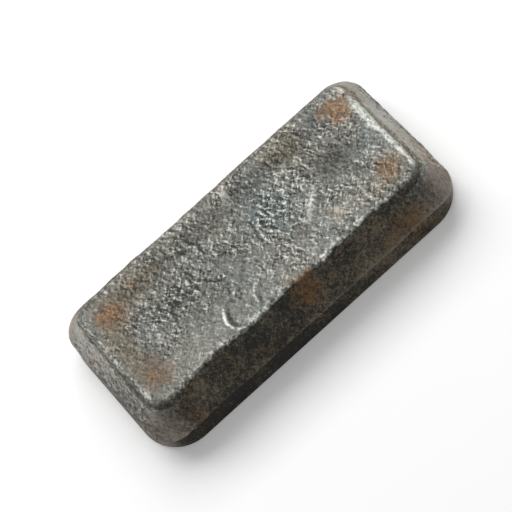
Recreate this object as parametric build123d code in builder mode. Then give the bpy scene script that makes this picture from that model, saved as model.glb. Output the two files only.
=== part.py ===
"""Pig iron ingot, cast in one piece.

It lies on its wide, flat face. X runs along its length, Y across it and Z up,
with the origin at the middle of the face it rests on. Sizes are in millimetres.
"""

import os
from math import radians, tan

from build123d import *

# Overall size, measured to the lower edge where the casting is widest, before that edge is rounded
LENGTH = 268.0
WIDTH = 125.0
HEIGHT = 52.0

# Foot: the steep band under the flash line, with a blunt lower edge; the draft is in degrees
FOOT_HEIGHT = 18.5
FOOT_DRAFT = 10.0
FOOT_CORNER_RADIUS = 30.0
FOOT_EDGE_RADIUS = 1.5

# Flash line: the thin lip that stands out between the foot and the flank
FLASH_OVERHANG = 0.8
FLASH_THICKNESS = 1.6
FLASH_CORNER_RADIUS = 19.0
FLASH_EDGE_RADIUS = 0.7

# Flank: the drafted side, from the flash line up to the ledge below the rim; the draft is in degrees
FLANK_DRAFT = 24.0
LEDGE_DROP = 6.5
LEDGE_WIDTH = 1.4
LEDGE_CORNER_RADIUS = 15.0
LEDGE_EDGE_RADIUS = 0.75

# Rim: the rolled shoulder that stands on the ledge and surrounds the dish
RIM_LEAN = 2.4
RIM_CORNER_RADIUS = 12.5
RIM_EDGE_RADIUS = 3.2

# Dish: the shallow sunken middle of the upper face, with sloping sides
DISH_DEPTH = 4.0
DISH_SIDE_MARGIN = 7.0
DISH_END_MARGIN = 13.0
DISH_CORNER_RADIUS = 13.0
DISH_SIDE_RUN = 11.0
DISH_END_RUN = 22.0
DISH_FLOOR_CORNER_RADIUS = 10.0
DISH_BLEND_RADIUS = 18.0

# Heights and outlines that follow from the sizes above, as insets from LENGTH and WIDTH
foot_inset = FOOT_HEIGHT * tan(radians(FOOT_DRAFT))
flash_inset = foot_inset - FLASH_OVERHANG
flank_foot = FOOT_HEIGHT + FLASH_THICKNESS
ledge_height = HEIGHT - LEDGE_DROP
flank_inset = flash_inset + (ledge_height - flank_foot) * tan(radians(FLANK_DRAFT))
ledge_inset = flank_inset + LEDGE_WIDTH
rim_inset = ledge_inset + RIM_LEAN
mouth_length = LENGTH - 2 * (rim_inset + DISH_END_MARGIN)
mouth_width = WIDTH - 2 * (rim_inset + DISH_SIDE_MARGIN)
floor_length = mouth_length - 2 * DISH_END_RUN
floor_width = mouth_width - 2 * DISH_SIDE_RUN


def level_face(part, height):
    """The level flat face of a part that lies nearest to this height."""
    level_faces = part.faces().filter_by(Axis.Z)
    return min(level_faces, key=lambda face: abs(face.center().Z - height))


def outline(inset, corner_radius):
    """The plan of the casting, drawn in by this inset all round, with these corners."""
    RectangleRounded(LENGTH - 2 * inset, WIDTH - 2 * inset, corner_radius)


# Casting: foot, flash lip, flank and rim stand one on another, and the dish is sunk in
with BuildPart() as ingot:
    with BuildSketch(Plane.XY):
        outline(0, FOOT_CORNER_RADIUS)
    with BuildSketch(Plane.XY.offset(FOOT_HEIGHT)):
        outline(foot_inset, FLASH_CORNER_RADIUS - FLASH_OVERHANG)
    loft(ruled=True)
    fillet(level_face(ingot, 0).edges(), radius=FOOT_EDGE_RADIUS)

    with BuildSketch(Plane.XY.offset(FOOT_HEIGHT)):
        outline(flash_inset, FLASH_CORNER_RADIUS)
    extrude(amount=FLASH_THICKNESS)
    fillet(level_face(ingot, FOOT_HEIGHT).outer_wire().edges(), radius=FLASH_EDGE_RADIUS)

    with BuildSketch(Plane.XY.offset(flank_foot)):
        outline(flash_inset, FLASH_CORNER_RADIUS)
    with BuildSketch(Plane.XY.offset(ledge_height)):
        outline(flank_inset, LEDGE_CORNER_RADIUS)
    loft(ruled=True)

    with BuildSketch(Plane.XY.offset(ledge_height)):
        outline(ledge_inset, LEDGE_CORNER_RADIUS - LEDGE_WIDTH)
    with BuildSketch(Plane.XY.offset(HEIGHT)):
        outline(rim_inset, RIM_CORNER_RADIUS)
    loft(ruled=True)
    fillet(level_face(ingot, HEIGHT).edges(), radius=RIM_EDGE_RADIUS)
    fillet(level_face(ingot, ledge_height).edges(), radius=LEDGE_EDGE_RADIUS)

    with BuildSketch(Plane.XY.offset(HEIGHT)):
        RectangleRounded(mouth_length, mouth_width, DISH_CORNER_RADIUS)
    with BuildSketch(Plane.XY.offset(HEIGHT - DISH_DEPTH)):
        RectangleRounded(floor_length, floor_width, DISH_FLOOR_CORNER_RADIUS)
    loft(ruled=True, mode=Mode.SUBTRACT)
    fillet(level_face(ingot, HEIGHT - DISH_DEPTH).edges(), radius=DISH_BLEND_RADIUS)
    fillet(level_face(ingot, HEIGHT).inner_wires()[0].edges(), radius=DISH_BLEND_RADIUS)

ingot.part.label = "ingot"

os.makedirs("parts", exist_ok=True)
export_step(ingot.part, "parts/ingot.step")
print(f"volume {ingot.part.volume:.0f} mm3")
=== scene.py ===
from math import atan2, cos, pi, radians, sin, tan

import bpy
import numpy as np
from mathutils import Matrix, Vector


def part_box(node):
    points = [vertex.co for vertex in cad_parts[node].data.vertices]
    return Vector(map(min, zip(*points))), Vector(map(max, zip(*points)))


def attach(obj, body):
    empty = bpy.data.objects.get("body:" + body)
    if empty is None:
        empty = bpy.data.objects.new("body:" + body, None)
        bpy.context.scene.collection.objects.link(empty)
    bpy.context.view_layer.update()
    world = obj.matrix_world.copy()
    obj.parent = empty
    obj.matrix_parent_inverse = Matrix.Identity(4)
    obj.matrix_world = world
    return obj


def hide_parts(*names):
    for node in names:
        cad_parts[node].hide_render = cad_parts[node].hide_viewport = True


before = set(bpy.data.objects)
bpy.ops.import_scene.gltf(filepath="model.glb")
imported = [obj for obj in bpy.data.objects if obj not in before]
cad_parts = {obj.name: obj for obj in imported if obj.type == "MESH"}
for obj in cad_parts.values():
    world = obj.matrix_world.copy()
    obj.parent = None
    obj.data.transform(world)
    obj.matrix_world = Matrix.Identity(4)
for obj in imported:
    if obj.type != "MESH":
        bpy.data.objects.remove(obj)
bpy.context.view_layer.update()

# Ingot
# One piece of pig iron, poured into an open mould and knocked out when cold. It lies on its wide face.
# The narrow face above is dished inside a rolled rim, and its skin is crinkled, pitted and rusty in spots.

MM = 0.001
LENGTH, WIDTH, HEIGHT = [(high - low) / MM for low, high in zip(*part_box("ingot"))]

# Sections of the sides, in millimetres, with the drafts as angles from upright
FOOT_HEIGHT = 18.5
FOOT_DRAFT = radians(10.0)
FOOT_EDGE_RADIUS = 1.5
FLASH_OVERHANG = 0.8
FLASH_THICKNESS = 1.6
FLASH_EDGE_RADIUS = 0.7
FLANK_DRAFT = radians(24.0)
LEDGE_DROP = 6.5
LEDGE_WIDTH = 1.4
LEDGE_EDGE_RADIUS = 0.75
RIM_LEAN = 2.4
RIM_EDGE_RADIUS = 3.2

# Corners of the plan at each level
FOOT_CORNER_RADIUS = 30.0
FLASH_CORNER_RADIUS = 19.0
LEDGE_CORNER_RADIUS = 15.0
RIM_CORNER_RADIUS = 12.5

# Dish: each side is one smooth slope that starts at the margin inside the rim and ends after the run
DISH_DEPTH = 4.0
DISH_SIDE_MARGIN = 5.0
DISH_END_MARGIN = 9.0
DISH_SIDE_RUN = 17.0
DISH_END_RUN = 30.0

# Grid: columns over the upper face, and rows of points in each stretch of the sides
COLUMNS_ALONG = 360
COLUMNS_ACROSS = 132
FOOT_ROWS = 6
FLANK_ROWS = 20
RIM_WALL_ROWS = 4
FOOT_BEND_ROWS = 4
LEDGE_BEND_ROWS = 3
RIM_BEND_ROWS = 8

foot_rise = FOOT_HEIGHT - FOOT_EDGE_RADIUS * (1 + sin(FOOT_DRAFT))
foot_inset = FOOT_EDGE_RADIUS * (1 - cos(FOOT_DRAFT)) + foot_rise * tan(FOOT_DRAFT)
flash_inset = foot_inset - FLASH_OVERHANG
flank_foot = FOOT_HEIGHT + FLASH_THICKNESS
ledge_height = HEIGHT - LEDGE_DROP
flank_inset = flash_inset + (ledge_height - flank_foot) * tan(FLANK_DRAFT)
ledge_inset = flank_inset + LEDGE_WIDTH
rim_inset = ledge_inset + RIM_LEAN
rim_draft = atan2(RIM_LEAN, LEDGE_DROP)


def bend(inset, height, radius, start, end, rows):
    """A round stretch of the profile, as rows of inset, height and slope of the outward normal.

    A point is the centre less the radius times the cosine in inset, and plus the radius times the sine
    in height, for slopes from start to end. A radius below zero makes a hollow bend.
    """
    slope = np.linspace(start, end, rows)
    return np.stack([inset - radius * np.cos(slope), height + radius * np.sin(slope), slope], 1)


def bend_reach(radius, draft):
    """How far a bend's centre lies from the corner that it rounds, where a drafted wall meets a level.

    It is the radius over the cosine of the draft, less the radius times its tangent.
    """
    return radius / cos(draft) - radius * tan(draft)


def straight(first, last, rows):
    """A straight stretch between two bends, as rows spaced evenly between their nearest ends."""
    share = np.linspace(0, 1, rows + 2)[1:-1, None]
    return first[-1] * (1 - share) + last[0] * share


def side_profile(stepped):
    """The section of one side from the resting face to the top of the rim, bend by bend.

    A stepped side has the ledge under its rim, and a plain one runs straight from the lip to the rim.
    """
    foot_edge = bend(
        FOOT_EDGE_RADIUS, FOOT_EDGE_RADIUS, FOOT_EDGE_RADIUS, -pi / 2, FOOT_DRAFT, FOOT_BEND_ROWS
    )
    foot_top = np.array([(foot_inset, FOOT_HEIGHT, FOOT_DRAFT)])
    flash_lip = bend(
        flash_inset + FLASH_EDGE_RADIUS,
        FOOT_HEIGHT + FLASH_EDGE_RADIUS,
        FLASH_EDGE_RADIUS,
        -pi / 2,
        FLANK_DRAFT,
        FOOT_BEND_ROWS,
    )
    ledge_edge = bend(
        flank_inset + bend_reach(LEDGE_EDGE_RADIUS, FLANK_DRAFT),
        ledge_height - LEDGE_EDGE_RADIUS,
        LEDGE_EDGE_RADIUS,
        FLANK_DRAFT,
        pi / 2,
        LEDGE_BEND_ROWS,
    )
    ledge_root = bend(
        ledge_inset - bend_reach(LEDGE_EDGE_RADIUS, rim_draft),
        ledge_height + LEDGE_EDGE_RADIUS,
        -LEDGE_EDGE_RADIUS,
        pi / 2,
        rim_draft,
        LEDGE_BEND_ROWS,
    )
    rim_edge = bend(
        rim_inset + bend_reach(RIM_EDGE_RADIUS, rim_draft),
        HEIGHT - RIM_EDGE_RADIUS,
        RIM_EDGE_RADIUS,
        rim_draft,
        pi / 2,
        RIM_BEND_ROWS,
    )
    middle = np.concatenate([
        straight(flash_lip, ledge_edge, FLANK_ROWS),
        ledge_edge,
        ledge_root,
        straight(ledge_root, rim_edge, RIM_WALL_ROWS),
    ])
    if not stepped:
        middle = straight(flash_lip, rim_edge, len(middle))
    foot_wall = straight(foot_edge, foot_top, FOOT_ROWS)
    return np.concatenate([foot_edge, foot_wall, foot_top, flash_lip, middle, rim_edge])


def corner_radius(inset, height):
    """The plan's corner radius: it changes evenly with height up the foot, and with the inset above it."""
    foot = np.interp(height, [0, FOOT_HEIGHT], [FOOT_CORNER_RADIUS, FLASH_CORNER_RADIUS - FLASH_OVERHANG])
    above = np.interp(
        inset,
        [flash_inset, flank_inset, ledge_inset, rim_inset],
        [FLASH_CORNER_RADIUS, LEDGE_CORNER_RADIUS, LEDGE_CORNER_RADIUS - LEDGE_WIDTH, RIM_CORNER_RADIUS],
    ) - np.maximum(inset - rim_inset, 0)
    lip = FLASH_CORNER_RADIUS + flash_inset - inset
    return np.where(height < FOOT_HEIGHT, foot, np.where(height < flank_foot, lip, above))


def rounded_plan(along, across, inset, radius):
    """Places of a square grid, from -1 to 1 each way, laid over a rectangle with round corners.

    Each place is clamped to the inner rectangle that joins the corner centres. What is left over is
    at most a square at each corner, and the square is pressed into a disc: each leftover is multiplied
    by the root of one less half the square of the other. Gives x, y and the outward direction.
    """
    inner_x = LENGTH / 2 - inset - radius
    inner_y = WIDTH / 2 - inset - radius
    corner_x = 1 - RIM_CORNER_RADIUS / (LENGTH / 2)
    corner_y = 1 - RIM_CORNER_RADIUS / (WIDTH / 2)
    left_x = np.sign(along) * np.maximum(np.abs(along) - corner_x, 0) / (1 - corner_x)
    left_y = np.sign(across) * np.maximum(np.abs(across) - corner_y, 0) / (1 - corner_y)
    out_x = left_x * np.sqrt(1 - left_y ** 2 / 2)
    out_y = left_y * np.sqrt(1 - left_x ** 2 / 2)
    x = np.clip(along / corner_x, -1, 1) * inner_x + radius * out_x
    y = np.clip(across / corner_y, -1, 1) * inner_y + radius * out_y
    return x, y, out_x, out_y


def ease(value, start, end):
    """A smooth rise from 0 at start to 1 at end: three squares less two cubes of the share between them."""
    share = np.clip((value - start) / (end - start), 0, 1)
    return share * share * (3 - 2 * share)


def bell(value, middle, width):
    """A soft hump of 1 at the middle that fades over the width: e to minus the square of the offset."""
    return np.exp(-(((value - middle) / width) ** 2))


# Every pattern on the skin is laid out from a point this far under the top
PATTERN_DEPTH = 48.0
pattern_middle = np.array([0, 0, HEIGHT - PATTERN_DEPTH])

# Each ripple is the sum of this many waves, as long as these shares of the wavelength asked for
RIPPLE_WAVES = 36
SHORTEST_SHARE = 0.75
LONGEST_SHARE = 1.33


def ripple(points, wavelength, seed):
    """An even, unit-strong wandering height: many cosines that run in random directions through space.

    Each has a random phase and a random length between the two shares, and the sum is divided by the
    root of half their number.
    """
    chance = np.random.default_rng(seed)
    heading = chance.normal(size=(RIPPLE_WAVES, 3))
    heading /= np.linalg.norm(heading, axis=1, keepdims=True)
    pace = 2 * pi / (wavelength * chance.uniform(SHORTEST_SHARE, LONGEST_SHARE, (RIPPLE_WAVES, 1)))
    phase = chance.uniform(0, 2 * pi, RIPPLE_WAVES)
    waves = np.cos((points - pattern_middle) @ (heading * pace).T + phase)
    return waves.sum(1) / np.sqrt(RIPPLE_WAVES / 2)


# Plain form: a grid over the upper face, and the profile carried round its border
along = np.linspace(-1, 1, COLUMNS_ALONG + 1)
across = np.linspace(-1, 1, COLUMNS_ACROSS + 1)
face_along, face_across = np.meshgrid(along, across, indexing="ij")
stepped_side = side_profile(stepped=True)
plain_side = side_profile(stepped=False)
face_inset = stepped_side[-1, 0]
face_x, face_y, _, face_out_y = rounded_plan(
    face_along, face_across, face_inset, corner_radius(face_inset, HEIGHT)
)

from_side = WIDTH / 2 - rim_inset - np.abs(face_y)
from_end = LENGTH / 2 - rim_inset - np.abs(face_x)
dish = ease(from_side, DISH_SIDE_MARGIN, DISH_SIDE_MARGIN + DISH_SIDE_RUN)
dish = dish * ease(from_end, DISH_END_MARGIN, DISH_END_MARGIN + DISH_END_RUN)
face_z = HEIGHT - DISH_DEPTH * dish

face_index = np.arange(face_x.size).reshape(face_x.shape)
border = np.concatenate([
    face_index[:-1, 0],
    face_index[-1, :-1],
    face_index[:0:-1, -1],
    face_index[0, :0:-1],
])

# The ledge is plain to see at the ends and dies away along the long sides
rim_points = np.stack([face_x.ravel()[border], face_y.ravel()[border], np.full(border.size, HEIGHT)], 1)
lost = ease(np.abs(face_out_y.ravel()[border]), 0.5, 1.0)
lost = lost * np.clip(0.75 + 0.25 * ripple(rim_points, 60, seed=81), 0, 1)
sides = stepped_side[:-1, None] * (1 - lost[:, None]) + plain_side[:-1, None] * lost[:, None]
side_inset, side_z, side_slope = np.moveaxis(sides, -1, 0)
side_x, side_y, side_out_x, side_out_y = rounded_plan(
    face_along.ravel()[border], face_across.ravel()[border], side_inset, corner_radius(side_inset, side_z)
)
side_shape = side_x.shape
side_out_x = np.broadcast_to(side_out_x, side_shape)
side_out_y = np.broadcast_to(side_out_y, side_shape)

# Every point of the plain form, and the direction in which its surface faces
plain = np.concatenate([
    np.stack([face_x, face_y, face_z], -1).reshape(-1, 3),
    np.stack([side_x, side_y, side_z], -1).reshape(-1, 3),
])
is_face = np.arange(len(plain)) < face_x.size
slope = np.concatenate([np.full(face_x.size, pi / 2), side_slope.ravel()])
endward = np.concatenate([np.zeros(face_x.size), side_out_x.ravel()])
sideward = np.concatenate([np.zeros(face_x.size), side_out_y.ravel()])
outward = np.stack([np.cos(slope) * endward, np.cos(slope) * sideward, np.sin(slope)], -1)


def blots(points, spots):
    """The sum of soft spots seen from above: bells of the distance from x, y, long in x and wide in y."""
    total = np.zeros(len(points))
    for x, y, long, wide, strength in spots:
        total += strength * bell(points[:, 0], x, long) * bell(points[:, 1], y, wide)
    return total


def streak(points, start, end, width):
    """A soft line from start to end, seen from above: a bell of the distance from that stretch."""
    start, end = np.array(start), np.array(end)
    share = (points[:, :2] - start) @ (end - start) / np.sum((end - start) ** 2)
    nearest = start + np.clip(share, 0, 1)[:, None] * (end - start)
    return bell(np.linalg.norm(points[:, :2] - nearest, axis=1), 0, width)


# Broad and middling swells, and shares that are 1 towards the ends and at the corners
broad = ripple(plain, 48, seed=11)
middling = ripple(plain, 17, seed=12)
end_share = ease(np.abs(endward), 0.25, 0.9)
corner_share = np.abs(2 * endward * sideward)

# Streaks left by the last trickle of metal, and cracks that opened as it cooled, as ends, width and height
STREAKS = [
    ((57, -2), (40, -17), 2.6, 0.9),
    ((12, 40), (9, 30), 3.8, 0.75),
    ((-15, -8), (-22, -15), 1.3, 0.6),
    ((49, 10), (56, 2), 1.5, 0.7),
    ((-64, 2), (-56, 0), 1.2, -1.1),
    ((-54, 3), (-43, 1), 1.2, -1.0),
    ((-69, 9), (-61, 9), 1.1, -0.7),
    ((-67, -6), (-65, -1), 1.2, -0.6),
    ((-12, -10), (-19, -17), 1.1, -0.6),
    ((4, 14), (9, 11), 1.2, -0.6),
]
streaks = sum(height * streak(plain, start, end, width) for start, end, width, height in STREAKS)
streaks = np.where(is_face, streaks * (0.9 + 0.2 * middling), 0)

# Rough and smooth stretches of the upper face; every list of spots gives x, y, length, width and strength
ROUGH_STRETCHES = [
    (-62.0, 4.0, 30.0, 12.0, 0.9),
    (-54.0, 5.0, 13.0, 7.0, 0.5),
    (24.0, 5.0, 19.0, 14.0, 1.0),
    (57.0, 9.0, 13.0, 11.0, 0.6),
    (-22.0, 32.0, 10.0, 8.0, 0.6),
    (17.0, 34.0, 9.0, 6.0, 0.5),
    (-3.0, 33.0, 8.0, 9.0, -0.4),
    (-50.0, 27.0, 12.0, 6.0, -0.3),
    (80.0, 4.0, 14.0, 11.0, -0.4),
    (-66.0, -31.0, 40.0, 12.0, -1.6),
    (-12.0, -14.0, 12.0, 5.0, -1.0),
    (12.0, -13.0, 9.0, 4.0, -0.8),
    (0.0, -42.0, 70.0, 4.0, -0.6),
    (-106.0, 0.0, 12.0, 42.0, -0.5),
    (114.0, 0.0, 5.0, 40.0, -0.6),
    (98.0, 5.0, 9.0, 30.0, 0.35),
    (0.0, 38.0, 90.0, 6.0, 0.3),
]
rough = ease(blots(plain, ROUGH_STRETCHES) + 0.15 * broad + 0.25 * middling, -0.85, 1.3)
side_rough = 0.65 + 0.15 * end_share - 0.35 * corner_share
rough = np.where(is_face, 0.35 + 0.9 * rough, side_rough)
rough = rough * (1 - 0.6 * np.clip(np.abs(streaks), 0, 1))


def worms(points, wavelength, seed):
    """Short crooked lines: a bell round the places where one ripple is zero, where another is above it."""
    line = bell(ripple(points, wavelength, seed), 0, 0.65)
    return line * ease(ripple(points, 0.9 * wavelength, seed + 1), -0.3, 0.7)


# Crinkled skin: short raised folds, short cracks, small pits and an even grain, stronger where it is rough
FOLD_HEIGHT = 0.24
CRACK_DEPTH = 0.32
PIT_DEPTH = 0.30
SMOOTH_GRAIN = 0.03
ROUGH_GRAIN = 0.04
folds = worms(plain, 6.4, seed=21) + 0.7 * worms(plain, 4.8, seed=61)
cracks = worms(plain, 5.8, seed=23) + 0.7 * worms(plain, 4.6, seed=63)
pits = ease(ripple(plain, 3.6, seed=25) + 0.3 * middling, 1.3, 2.4)
grain = ripple(plain, 3.0, seed=27)
fine = rough * (FOLD_HEIGHT * folds - CRACK_DEPTH * cracks - PIT_DEPTH * pits)
fine = fine + (SMOOTH_GRAIN + ROUGH_GRAIN * rough) * grain

# Scabs: thin plates of skin that end in a low step
plates = ease(ripple(plain, 22, seed=31) + 0.5 * ripple(plain, 7, seed=32), -0.1, 0.2)

# Laps: curled folds where one tongue of metal ran up against another, as x, y, radius, bearings and lift
LAPS = [
    (-30.0, -33.5, 13.2, 125.0, 228.0, 1.4),
    (4.0, -46.0, 25.5, 118.0, 168.0, 0.7),
]
CREST_OFFSET = 1.2
CREST_WIDTH = 2.1
GROOVE_OFFSET = -2.0
GROOVE_WIDTH = 1.5
broken = 0.55 + 0.45 * ease(ripple(plain, 8, seed=36), -0.6, 0.6)
wander = 0.6 * middling + 0.25 * ripple(plain, 7, seed=35)
crests = np.zeros(len(plain))
grooves = np.zeros(len(plain))
for lap_x, lap_y, lap_radius, first, last, lift in LAPS:
    dx, dy = plain[:, 0] - lap_x, plain[:, 1] - lap_y
    off = np.hypot(dx, dy) - lap_radius + wander
    bearing = np.degrees(np.arctan2(dy, dx)) % 360
    stretch = lift * bell(bearing, (first + last) / 2, 0.5 * (last - first)) * is_face
    crests += stretch * broken * bell(off, CREST_OFFSET, CREST_WIDTH)
    grooves += stretch * bell(off, GROOVE_OFFSET, GROOVE_WIDTH)

# The sides are ragged just over the ledge, and less so on the side that faces +Y
RAGGED_LIFT = 2.0
RAGGED_REACH = 5.0
BACK_RAGGED = 0.35
ragged = 0.5 * ripple(plain, 9, seed=71) + 0.4 * ripple(plain, 24, seed=72)
uneven = np.where(plain[:, 1] > 0, BACK_RAGGED, 1.0)
near_ledge = bell(plain[:, 2], ledge_height + RAGGED_LIFT, RAGGED_REACH)
ragged = np.where(is_face, 0, near_ledge) * ragged * uneven

# All relief together, in millimetres: weaker on the sides and the back rim, and gone at the resting face
BROAD_SWELL = 0.4
MIDDLING_SWELL = 0.2
PLATE_HEIGHT = 0.22
STREAK_HEIGHT = 0.4
RAGGED_HEIGHT = 0.5
GROOVE_DEPTH = 0.8
SIDE_RELIEF = 0.65
FADE_HEIGHT = 9.0
BACK_RIM_INSET = 0.4
BACK_RIM_WIDTH = 1.8
BACK_RIM_CALM = 0.7
relief = BROAD_SWELL * broad + MIDDLING_SWELL * middling + fine + PLATE_HEIGHT * plates * rough
relief = relief + STREAK_HEIGHT * streaks + RAGGED_HEIGHT * ragged
relief += crests - GROOVE_DEPTH * grooves
back_rim = bell(plain[:, 1], WIDTH / 2 - rim_inset - BACK_RIM_INSET, BACK_RIM_WIDTH)
keep = np.where(is_face, 1.0, SIDE_RELIEF) * ease(plain[:, 2], 0.0, FADE_HEIGHT)
keep = keep * (1 - BACK_RIM_CALM * back_rim)
place = plain + outward * (relief * keep)[:, None]

# The rim swells and narrows along the long side that faces -Y, as x, length and how far it swells
RIM_SWELLS = [
    (-97.0, 13.0, 1.5),
    (-62.0, 7.0, -1.6),
    (-34.0, 10.0, 1.8),
    (5.0, 7.0, -0.6),
    (28.0, 8.0, 1.5),
    (46.0, 7.0, -0.3),
    (70.0, 9.0, -0.9),
    (91.0, 7.0, 0.5),
]
SWELL_DEPTH = 12.0
SWELL_RISE = 3.0
swell = sum(amount * bell(plain[:, 0], x, long) for x, long, amount in RIM_SWELLS)
rim_share = np.clip(-plain[:, 1] / (WIDTH / 2 - rim_inset), 0, 1) ** 4
place[:, 1] -= swell * rim_share * ease(plain[:, 2], ledge_height - SWELL_DEPTH, ledge_height + SWELL_RISE)

# The casting fills the measured box exactly
place[:, :2] *= np.array([LENGTH, WIDTH]) / 2 / np.abs(place[:, :2]).max(0)
place[:, 2] *= HEIGHT / place[:, 2].max()

# Four-sided faces over the upper face and round the sides, and one large face to rest on
side_index = np.vstack([
    face_x.size + np.arange(side_x.size).reshape(side_shape),
    border,
])
next_index = np.roll(side_index, -1, axis=1)
side_quads = np.stack([
    side_index[:-1],
    next_index[:-1],
    next_index[1:],
    side_index[1:],
], -1).reshape(-1, 4)
face_quads = np.stack([
    face_index[:-1, :-1],
    face_index[1:, :-1],
    face_index[1:, 1:],
    face_index[:-1, 1:],
], -1).reshape(-1, 4)
quads = np.concatenate([face_quads, side_quads])
resting_face = side_index[0, ::-1]
loop_points = np.concatenate([quads.ravel(), resting_face])

casting_mesh = bpy.data.meshes.new("ingot_casting")
casting_mesh.vertices.add(len(place))
casting_mesh.vertices.foreach_set("co", (place * MM).astype(np.float32).ravel())
casting_mesh.loops.add(loop_points.size)
casting_mesh.loops.foreach_set("vertex_index", loop_points.astype(np.int32))
casting_mesh.polygons.add(len(quads) + 1)
casting_mesh.polygons.foreach_set("loop_start", np.arange(len(quads) + 1, dtype=np.int32) * 4)
casting_mesh.update(calc_edges=True)
casting_mesh.validate()
casting_mesh.polygons.foreach_set("use_smooth", np.ones(len(quads) + 1, dtype=bool))

# Marks that the material reads at each vertex: first the height of the skin, then lighter and darker
# places, some of them painted light and shade
level = fine - fine[is_face].mean()

FACE_TONES = [
    (-55.0, 2.0, 35.0, 20.0, -0.8),
    (-102.0, 0.0, 12.0, 40.0, -0.5),
    (-85.0, -2.0, 8.0, 6.0, 1.1),
    (-61.0, 1.0, 7.0, 5.0, -0.6),
    (-42.0, 2.5, 7.0, 3.0, -0.6),
    (-97.0, -18.0, 10.0, 12.0, -0.5),
    (-60.0, -31.0, 12.0, 7.0, 0.3),
    (-6.0, -21.5, 8.0, 5.0, 0.9),
    (14.0, 9.0, 13.0, 4.0, -0.5),
    (21.0, 35.0, 5.0, 4.0, -0.9),
    (48.0, 32.5, 5.0, 4.0, -0.8),
    (48.0, 22.0, 10.0, 4.0, 0.7),
    (57.0, -25.0, 11.0, 8.0, 1.1),
    (66.0, 29.0, 9.0, 4.0, -0.6),
    (66.0, 14.0, 9.0, 5.0, -0.6),
    (79.0, 4.0, 13.0, 11.0, -2.1),
    (93.0, -18.0, 6.0, 5.0, -0.5),
    (101.0, 18.0, 4.0, 5.0, 1.0),
    (101.0, -12.0, 5.0, 7.0, 0.7),
    (104.0, 27.0, 8.0, 8.0, 1.2),
    (101.0, -28.0, 7.0, 8.0, 0.7),
    (-72.0, -41.0, 38.0, 4.5, 0.7),
    (0.0, -41.5, 40.0, 4.0, 0.4),
]
# Painted light makes the end that faces +X lighter. Both ends are lighter high up and darker low down, and
# the end that faces -X is lighter towards +Y and darker towards -Y
END_TONES_AND_LIGHT = [
    (127.0, 0.0, 10.0, 60.0, 3.5),
    (133.0, 0.0, 6.0, 60.0, -2.6),
    (122.0, 0.0, 5.0, 45.0, 1.6),
    (-127.0, 0.0, 10.0, 60.0, 0.3),
    (-128.0, 40.0, 10.0, 22.0, 2.0),
    (-128.0, -25.0, 10.0, 25.0, -0.9),
    (-121.0, 0.0, 4.5, 50.0, 2.0),
    (-123.0, 28.0, 5.0, 16.0, 1.4),
    (-134.0, 0.0, 3.5, 60.0, -2.0),
]
# Painted shade darkens the side that faces -Y in its middle and at its -X end, and painted light lightens
# it towards +X; the lighter spot high up lies on a rust patch
FRONT_TONES_AND_SHADE = [
    (8.0, -49.0, 11.0, 6.0, 1.2),
    (-108.0, -57.0, 9.0, 8.0, -1.0),
    (-18.0, -58.0, 40.0, 11.0, -1.3),
    (-72.0, -58.0, 18.0, 11.0, -0.7),
    (78.0, -58.0, 34.0, 11.0, 0.5),
]
tone_and_shading = blots(plain, FACE_TONES + END_TONES_AND_LIGHT + FRONT_TONES_AND_SHADE)
# The crests of the laps are painted lighter and their grooves darker, as painted highlight and painted
# shade
tone_and_shading = tone_and_shading + 2.4 * streaks + 2.2 * crests - 2.6 * grooves

# Painted shade darkens the long sides towards the rim and on their foot, and a painted highlight lightens
# their lip; towards +X the highlight grows and the foot's shade lessens
shade_towards_rim = ease(plain[:, 2], FOOT_HEIGHT, ledge_height + 2)
far_half = ease(plain[:, 0], -10, 60)
lip_highlight = bell(plain[:, 2], FOOT_HEIGHT + 0.6, 1.4) * (0.9 + 2.1 * far_half)
foot_shade = 1 - ease(plain[:, 2], FOOT_HEIGHT - 2.6, FOOT_HEIGHT - 0.2)
side_light_and_shade = 0.6 - 1.1 * shade_towards_rim + lip_highlight - (2.4 - 1.2 * far_half) * foot_shade
tone_and_shading += np.where(is_face, 0, (1 - end_share) * side_light_and_shade)

# Tan film: thin old rust in broad stretches and round the corners
FILM_STRETCHES = [
    (-75.0, 32.0, 32.0, 9.0, 0.9),
    (-104.0, 0.0, 11.0, 34.0, 1.2),
    (-82.0, -27.0, 12.0, 10.0, -0.5),
    (52.0, 35.0, 16.0, 8.0, 1.0),
    (20.0, 38.0, 20.0, 6.0, 0.5),
    (104.0, 20.0, 12.0, 16.0, 0.5),
    (90.0, -36.0, 20.0, 8.0, 0.35),
    (27.0, 4.0, 19.0, 13.0, -1.1),
    (128.0, 0.0, 8.0, 60.0, 0.6),
    (-128.0, -40.0, 8.0, 25.0, 0.5),
]
film = blots(plain, FILM_STRETCHES) + 0.25 * broad + 0.5 * corner_share

# Fresh rust in spots
RUST_SPOTS = [
    (-98.0, 27.0, 12.0, 10.0, 1.2),
    (-101.0, -26.0, 13.0, 13.0, 0.75),
    (-74.0, 34.0, 6.0, 5.0, 0.5),
    (-55.0, 31.0, 9.0, 7.0, 0.25),
    (104.0, 27.0, 10.0, 10.0, 1.25),
    (94.0, 34.0, 7.0, 4.0, 0.55),
    (101.0, -28.0, 9.0, 10.0, 1.0),
    (52.0, 35.0, 12.0, 7.0, 0.15),
    (56.0, -26.0, 7.0, 7.0, 0.45),
    (31.0, -18.5, 5.0, 5.0, 0.45),
    (8.0, -49.0, 12.0, 7.0, 1.3),
    (88.0, -57.0, 18.0, 6.0, 0.8),
    (-40.0, -58.0, 14.0, 4.0, 0.4),
    (-95.0, -56.0, 10.0, 6.0, 0.5),
    (-75.0, 54.0, 13.0, 6.0, 0.8),
    (60.0, 57.0, 16.0, 5.0, 0.7),
    (-127.0, 20.0, 5.0, 14.0, 0.4),
    (126.0, -34.0, 6.0, 14.0, 0.7),
]
rust = blots(plain, RUST_SPOTS) + np.where(is_face, 0, 0.1 * ripple(plain, 26, seed=51))
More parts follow.
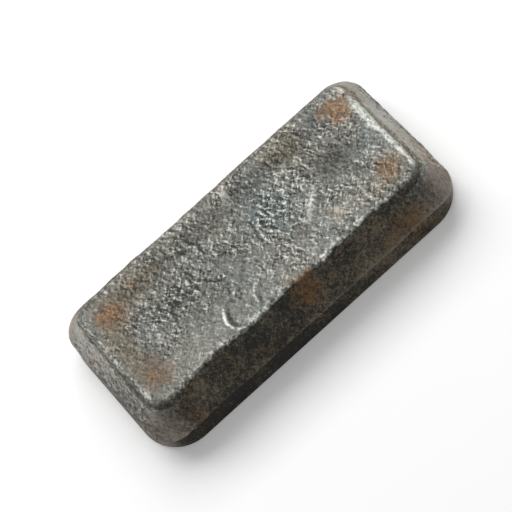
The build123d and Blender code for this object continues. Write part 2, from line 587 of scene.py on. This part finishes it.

# Dark scale covers the long sides, partly as painted shade on their unlit faces, with painted shade in the
# crease over the ledge and on the foot, and is gone from the roll of the rim
crease_shade = bell(plain[:, 2], ledge_height + 1.0, 3.2) * (plain[:, 2] > ledge_height - 0.5)
near_corner = bell(np.abs(plain[:, 0]), LENGTH / 2 - 0.75 * FLASH_CORNER_RADIUS, 20.0)
scale_and_shade = (0.95 - 0.6 * near_corner) * (1 - 0.92 * end_share)
scale_and_shade = scale_and_shade + 0.12 * np.where(is_face, 0, ripple(plain, 30, seed=52))
scale_and_shade = scale_and_shade + (0.95 - scale_and_shade) * np.maximum(0.7 * crease_shade, (1 - end_share) * foot_shade)
roll_foot = np.where(plain[:, 1] > 0, radians(8), radians(28))
roll_share = ease(slope + 0.1 * ripple(plain, 8, seed=54), roll_foot, roll_foot + radians(34))
roll_share = roll_share * (plain[:, 2] > HEIGHT - RIM_EDGE_RADIUS - 1)
scale_and_shade = np.where(is_face, 0, scale_and_shade * (1 - roll_share))

# Edges worn bright, and partly painted highlights: the roll of the rim, the edge of the ledge at the ends,
# and the crests of the laps
WORN_AND_LIT_EDGES = [
    (115.0, -4.0, 2.1, 42.0, 1.5),
    (112.0, 12.0, 4.0, 14.0, 0.7),
    (106.0, 38.0, 5.0, 3.0, 0.5),
    (-114.2, -36.0, 2.0, 9.0, 0.8),
    (-111.0, -42.0, 2.6, 2.6, 0.7),
    (-115.2, 4.0, 1.3, 40.0, 0.45),
    (0.0, 44.5, 110.0, 2.0, 0.3),
    (-25.0, -43.5, 26.0, 2.8, 0.6),
    (-76.0, -42.5, 26.0, 2.6, 0.35),
    (55.0, -43.5, 55.0, 2.8, 0.6),
]
rolled = ease(slope, roll_foot - radians(6), roll_foot + radians(14))
rolled = rolled * (plain[:, 2] > HEIGHT - RIM_EDGE_RADIUS)
ledge_wear = bell(plain[:, 2], ledge_height - 0.2, 0.9) * (slope < radians(80)) * end_share
patchy = 1 + 0.35 * ripple(plain, 10, seed=53)
wear_and_highlight = rolled * blots(plain, WORN_AND_LIT_EDGES) + 0.5 * ledge_wear
wear_and_highlight = wear_and_highlight * patchy + 0.8 * crests

# Old rust stains the lower part of the end that faces -X, the corners and the back rim a dull mauve
end_stain = 0.8 * (plain[:, 0] < 0) * end_share * (1 - ease(plain[:, 2], 10, 34))
corner_stain = np.maximum(corner_share, 0.8 * near_corner * (1 - end_share))
corner_stain = corner_stain * (1 - ease(plain[:, 2], 34, 47))
stain = end_stain + 1.2 * corner_stain + 0.15 * ripple(plain, 20, seed=55) * end_share
stain = np.where(is_face, 0, stain) + 0.8 * back_rim

MARKS = {
    "level": level,
    "rough": rough,
    "tone_and_shading": tone_and_shading,
    "film": film,
    "rust": rust,
    "scale_and_shade": scale_and_shade,
    "wear_and_highlight": wear_and_highlight,
    "stain": stain,
}
for name, values in MARKS.items():
    layer = casting_mesh.attributes.new(name, "FLOAT", "POINT")
    layer.data.foreach_set("value", values.astype(np.float32))

casting = bpy.data.objects.new("ingot_casting", casting_mesh)
bpy.context.scene.collection.objects.link(casting)


class Shade:
    """One socket of a shader tree. Sums, differences and products of shades add Math nodes."""

    def __init__(self, tree, socket=None):
        self.tree = tree
        self.socket = socket

    def node(self, kind, settings=None, sockets=None, output=0):
        """Adds a node: its settings first, then a value or link for each socket. Gives one output."""
        made = self.tree.nodes.new(kind)
        for name, value in (settings or {}).items():
            setattr(made, name, value)
        for name, value in (sockets or {}).items():
            if isinstance(value, Shade):
                self.tree.links.new(value.socket, made.inputs[name])
            else:
                made.inputs[name].default_value = value
        return Shade(self.tree, made.outputs[output])

    def math(self, operation, first, second):
        """A Math node on two values or shades."""
        return self.node("ShaderNodeMath", {"operation": operation}, {0: first, 1: second})

    def __add__(self, other):
        return self.math("ADD", self, other)

    def __radd__(self, other):
        return self.math("ADD", other, self)

    def __sub__(self, other):
        return self.math("SUBTRACT", self, other)

    def __rsub__(self, other):
        return self.math("SUBTRACT", other, self)

    def __mul__(self, other):
        return self.math("MULTIPLY", self, other)

    def __rmul__(self, other):
        return self.math("MULTIPLY", other, self)

    def mark(self, name):
        """A value that the mesh carries at its vertices."""
        return self.node("ShaderNodeAttribute", {"attribute_name": name}, output="Fac")

    def noise(self, size, detail=2.0, harshness=0.5, turn=0.0, stretch=1.0, shift=0.0, wander=0.0):
        """A cloudy pattern from 0 to 1 with lumps of this size in metres.

        The lumps may be drawn out by this stretch along a direction turned from X, shifted along X and
        made to wander.
        """
        place = self.node(
            "ShaderNodeMapping",
            {"vector_type": "TEXTURE"},
            {
                "Vector": self.node("ShaderNodeTexCoord", output="Object"),
                "Location": (shift, 0.0, pattern_middle[2] * MM),
                "Rotation": (0.0, 0.0, turn),
                "Scale": (stretch, 1.0, 1.0),
            },
        )
        return self.node(
            "ShaderNodeTexNoise",
            sockets={
                "Vector": place,
                "Scale": 1 / size,
                "Detail": detail,
                "Roughness": harshness,
                "Distortion": wander,
            },
        )

    def strokes(self, size, turn):
        """Short strokes with a painted lit side and a painted shaded side: a drawn-out pattern less itself,
        shifted along X.
        """
        shape = {"detail": 1.0, "turn": turn, "stretch": 1.7, "wander": 0.7}
        shift = 0.2 * size
        return self.noise(size, shift=shift, **shape) - self.noise(size, shift=-shift, **shape)

    def rise(self, start, end, low=0.0, high=1.0):
        """This value eased from low at start to high at end."""
        return self.node(
            "ShaderNodeMapRange",
            {"interpolation_type": "SMOOTHSTEP"},
            {"Value": self, "From Min": start, "From Max": end, "To Min": low, "To Max": high},
        )

    def mix(self, first, second):
        """The first colour where this value is 0 and the second where it is 1."""
        return self.node("ShaderNodeMix", {"data_type": "RGBA"}, {0: self, 6: first, 7: second}, output=2)

    def into(self, shader, name):
        """Links this value into the named socket of a shader."""
        self.tree.links.new(self.socket, shader.inputs[name])


DARK_IRON = (0.042, 0.042, 0.039, 1)
COOL_IRON = (0.116, 0.144, 0.139, 1)
WARM_IRON = (0.151, 0.147, 0.130, 1)
PALE_IRON = (0.41, 0.41, 0.375, 1)
BRIGHT_IRON = (0.56, 0.57, 0.53, 1)
DARK_SCALE = (0.013, 0.012, 0.009, 1)
BROWN_SCALE = (0.190, 0.156, 0.106, 1)
DARK_MAUVE = (0.100, 0.084, 0.071, 1)
PALE_MAUVE = (0.270, 0.238, 0.207, 1)
DARK_TAN = (0.076, 0.066, 0.046, 1)
PALE_TAN = (0.236, 0.208, 0.150, 1)
PALE_RUST = (0.52, 0.40, 0.29, 1)
ORANGE_RUST = (0.35, 0.207, 0.112, 1)
BROWN_RUST = (0.125, 0.084, 0.053, 1)
DARK_SIDE_RUST = (0.040, 0.025, 0.014, 1)
SIDE_RUST = (0.19, 0.108, 0.050, 1)
SKIN_GLOSS = 0.3
BUMP_STRENGTH = 0.4
BUMP_HEIGHT = 0.0006

iron_skin = bpy.data.materials.new("iron_skin")
iron_skin.use_nodes = True
skin = Shade(iron_skin.node_tree)
grit = skin.noise(0.0014, 3, 0.6) - 0.5
speck = skin.noise(0.0040, 4, 0.65) - 0.5
blotch = skin.noise(0.009, 3, 0.6) - 0.5
cloud = skin.noise(0.020, 3, 0.55) - 0.5

# Lightness of the bare skin: what stands up is paler, partly as painted glints, and what sinks is darker,
# partly as painted shade; the strokes paint a lit and a shaded side
crinkle = skin.strokes(0.0033, radians(-62)) + skin.strokes(0.0028, radians(35))
crinkle = (crinkle + skin.strokes(0.0024, radians(-12))) * skin.mark("rough")
height = skin.mark("level") * 0.45 + crinkle + skin.mark("tone_and_shading") * 0.1
height = height + grit * 0.5 + speck * 0.3 + blotch * 0.25

# Bare iron, with the tan film and the mauve stain over it
warmth = (skin.mark("film") * 0.5 + cloud * 0.5 + speck * 0.5).rise(-0.75, 0.25)
bare = height.rise(-0.36, 0.04).mix(DARK_IRON, warmth.mix(COOL_IRON, WARM_IRON))
bare = height.rise(0.0, 0.4).mix(bare, PALE_IRON)
filmed = (skin.mark("film") + cloud * 0.6 + speck * 1.0 + grit * 0.8).rise(0.1, 1.1)
bare = (filmed * 0.7).mix(bare, height.rise(-0.3, 0.3).mix(DARK_TAN, PALE_TAN))
mauve = height.rise(-0.3, 0.4).mix(DARK_MAUVE, PALE_MAUVE)
bare = (skin.mark("stain") + speck * 0.6).rise(0.1, 0.9).mix(bare, mauve)

# Dark scale and painted shade on the sides, then worn edges and painted highlights
crust = skin.mark("level") * 0.4 + crinkle * 0.8 + cloud * 1.1 + blotch * 0.9
crust = crust + speck * 0.9 + grit * 1.4 + skin.mark("tone_and_shading") * 0.16
scale = crust.rise(-0.42, 0.72).mix(DARK_SCALE, BROWN_SCALE)
scale_and_shade_cover = (skin.mark("scale_and_shade") + speck * 0.5 + grit * 0.4).rise(0.15, 0.85)
body = scale_and_shade_cover.mix(bare, scale)
worn_and_lit = (skin.mark("wear_and_highlight") + speck * 1.5 + grit * 0.6 + skin.mark("level") * 0.8).rise(0.25, 1.0)
body = (worn_and_lit * 0.9).mix(body, height.rise(-0.35, 0.2).mix(COOL_IRON, BRIGHT_IRON))

# Rust over all of them, darker where it lies on the scale
bloom = (skin.mark("rust") + blotch * 1.1 + speck * 1.0 + grit * 0.5).rise(0.12, 1.15)
rusted = (height * 0.8 + speck * 1.2 + grit * 0.5 + 0.5).rise(0.1, 0.82).mix(BROWN_RUST, ORANGE_RUST)
rusted = height.rise(0.18, 0.5).mix(rusted, PALE_RUST)
rusted = scale_and_shade_cover.mix(rusted, (crust + 0.1).rise(-0.4, 0.45).mix(DARK_SIDE_RUST, SIDE_RUST))
colour = (bloom * 0.85).mix(body, rusted)

shader = iron_skin.node_tree.nodes["Principled BSDF"]
shader.inputs["Specular IOR Level"].default_value = SKIN_GLOSS
bump = skin.node(
    "ShaderNodeBump",
    sockets={
        "Height": crinkle * 1.5 + grit * 0.6 + speck,
        "Strength": BUMP_STRENGTH,
        "Distance": BUMP_HEIGHT,
    },
    output="Normal",
)
dull = height.rise(-0.4, 0.4, 0.72, 0.46) + skin.mark("scale_and_shade") * 0.12 + bloom * 0.25
metal = (1 - bloom) * (0.45 - skin.mark("scale_and_shade") * 0.35)
colour.into(shader, "Base Color")
dull.into(shader, "Roughness")
metal.into(shader, "Metallic")
bump.into(shader, "Normal")
casting_mesh.materials.append(iron_skin)

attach(casting, "root")
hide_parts("ingot")

# Floor
# A plain white sheet under the ingot that takes its soft shadow. Its sizes are in metres.
# FLOOR_LIFT is the light that it gives off to the rays that the camera sees, so that it shows white.

FLOOR_HALF = 4.0
FLOOR_DROP = 0.0001
FLOOR_LIFT = 0.17
SHEET_WHITE = (0.93, 0.93, 0.93, 1)
SHEET_ROUGHNESS = 0.9
floor_mesh = bpy.data.meshes.new("floor")
floor_corners = FLOOR_HALF * np.array([(-1, -1), (1, -1), (1, 1), (-1, 1)])
floor_mesh.from_pydata([(x, y, -FLOOR_DROP) for x, y in floor_corners], [], [(0, 1, 2, 3)])
floor = bpy.data.objects.new("floor", floor_mesh)
bpy.context.scene.collection.objects.link(floor)


def seen_rays(shade):
    """1 for camera, glossy and transmitted rays, else 0: three outputs of Light Path, added up."""
    camera_ray = shade.node("ShaderNodeLightPath", output="Is Camera Ray")
    outputs = camera_ray.socket.node.outputs
    glossy_ray = Shade(shade.tree, outputs["Is Glossy Ray"])
    glass_ray = Shade(shade.tree, outputs["Is Transmission Ray"])
    return camera_ray + glossy_ray + glass_ray


white_sheet = bpy.data.materials.new("white_sheet")
white_sheet.use_nodes = True
sheet = Shade(white_sheet.node_tree)
sheet_shader = white_sheet.node_tree.nodes["Principled BSDF"]
sheet_shader.inputs["Base Color"].default_value = SHEET_WHITE
sheet_shader.inputs["Roughness"].default_value = SHEET_ROUGHNESS
sheet_shader.inputs["Specular IOR Level"].default_value = 0.0
sheet_shader.inputs["Emission Strength"].default_value = 1.0
(seen_rays(sheet) * FLOOR_LIFT).into(sheet_shader, "Emission Color")
floor_mesh.materials.append(white_sheet)

# Light
# A long soft lamp over the side that faces away from the camera, and a low even sky.
# The lamp's sizes are in metres, and its azimuth is turned from +X.

SKY_STRENGTH = 0.3
sky = bpy.data.worlds.new("studio")
sky.use_nodes = True
bpy.context.scene.world = sky
air = Shade(sky.node_tree)
backdrop = sky.node_tree.nodes["Background"]
backdrop.inputs["Color"].default_value = (1, 1, 1, 1)
(SKY_STRENGTH + seen_rays(air) * (1 - SKY_STRENGTH)).into(backdrop, "Strength")

LAMP_LENGTH = 2.9
LAMP_WIDTH = 1.1
LAMP_DISTANCE = 2.4
LAMP_AZIMUTH = radians(82)
LAMP_ELEVATION = radians(50)
LAMP_POWER = 60.0
lamp_data = bpy.data.lights.new("lamp", "AREA")
lamp_data.shape = "RECTANGLE"
lamp_data.size = LAMP_LENGTH
lamp_data.size_y = LAMP_WIDTH
lamp_data.energy = LAMP_POWER
lamp = bpy.data.objects.new("lamp", lamp_data)
lamp_way = Vector((
    cos(LAMP_AZIMUTH) * cos(LAMP_ELEVATION),
    sin(LAMP_AZIMUTH) * cos(LAMP_ELEVATION),
    sin(LAMP_ELEVATION),
))
lamp_right = Vector((0, 0, 1)).cross(lamp_way).normalized()
lamp_turn = Matrix((lamp_right, lamp_way.cross(lamp_right), lamp_way)).transposed().to_4x4()
lamp.matrix_world = Matrix.Translation(lamp_way * LAMP_DISTANCE) @ lamp_turn
bpy.context.scene.collection.objects.link(lamp)

# Camera
# A long lens high above one long side, rolled so that the ingot runs from lower left to upper right.
# Its azimuth is turned from -Y. It aims at a point that lies AIM_DEPTH millimetres under the top.

VIEW_DISTANCE = 1.364
VIEW_AZIMUTH = radians(-6.2)
VIEW_ELEVATION = radians(66.0)
VIEW_ROLL = radians(36.4)
VIEW_LENS = 144.0
AIM_DEPTH = 28.8
aim = Vector((0.0, 0.0, (HEIGHT - AIM_DEPTH) * MM))
back = Vector((
    sin(VIEW_AZIMUTH) * cos(VIEW_ELEVATION),
    -cos(VIEW_AZIMUTH) * cos(VIEW_ELEVATION),
    sin(VIEW_ELEVATION),
))
sideways = Vector((0, 0, 1)).cross(back).normalized()
upright = back.cross(sideways)
right = sideways * cos(VIEW_ROLL) - upright * sin(VIEW_ROLL)
up = upright * cos(VIEW_ROLL) + sideways * sin(VIEW_ROLL)
camera_data = bpy.data.cameras.new("camera")
camera_data.lens = VIEW_LENS
camera = bpy.data.objects.new("camera", camera_data)
camera_turn = Matrix((right, up, back)).transposed().to_4x4()
camera.matrix_world = Matrix.Translation(aim + back * VIEW_DISTANCE) @ camera_turn
bpy.context.scene.collection.objects.link(camera)
bpy.context.scene.camera = camera
bpy.context.scene.view_settings.view_transform = "Standard"
